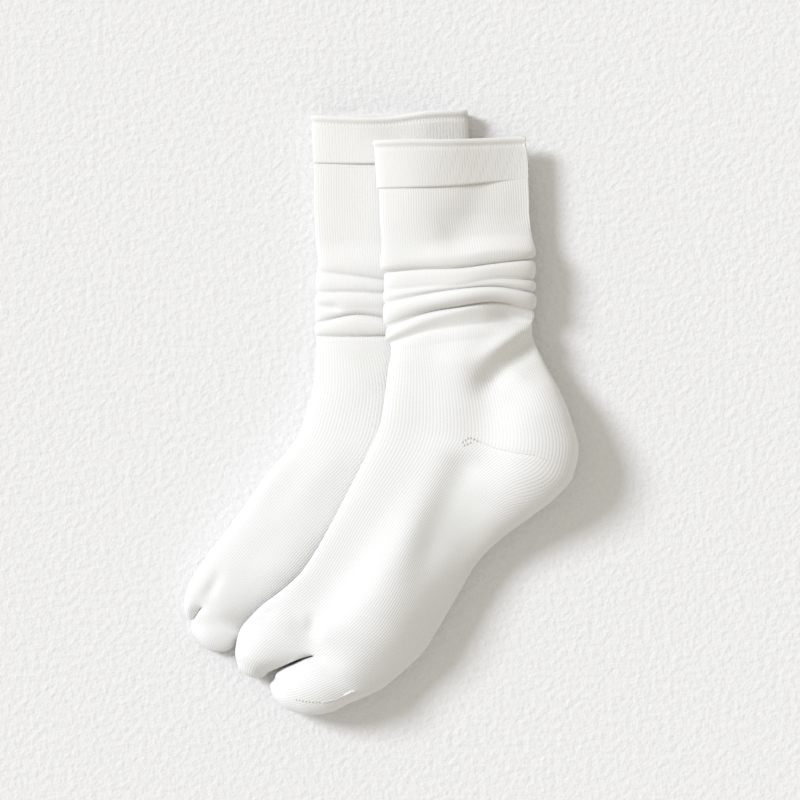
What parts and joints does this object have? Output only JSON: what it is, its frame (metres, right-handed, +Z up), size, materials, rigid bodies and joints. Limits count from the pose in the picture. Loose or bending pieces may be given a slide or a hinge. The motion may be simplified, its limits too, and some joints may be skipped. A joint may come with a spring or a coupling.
{
  "type": "pair of split-toe socks lying flat",
  "caption": "Pair of knitted split-toe ankle socks with ribbed cuffs and slouched ankle folds, lying flat, the right sock over the left.",
  "frame": {"origin": "centre of the bounding box, on the surface that the socks lie on", "axes": "+Y runs from the toes up to the cuffs, +Z up from the surface, +X across from the instep side to the heel side"},
  "size_m": [0.2376, 0.362, 0.041],
  "materials": {
    "plain_knit": "fine white cotton plain knit",
    "rib_knit": "white cotton one-by-one rib"
  },
  "bodies": {
    "root": {"right_sock": "plain_knit", "right_cuff_welt": "rib_knit", "left_sock": "plain_knit", "left_cuff_welt": "rib_knit"}
  },
  "joints": []
}
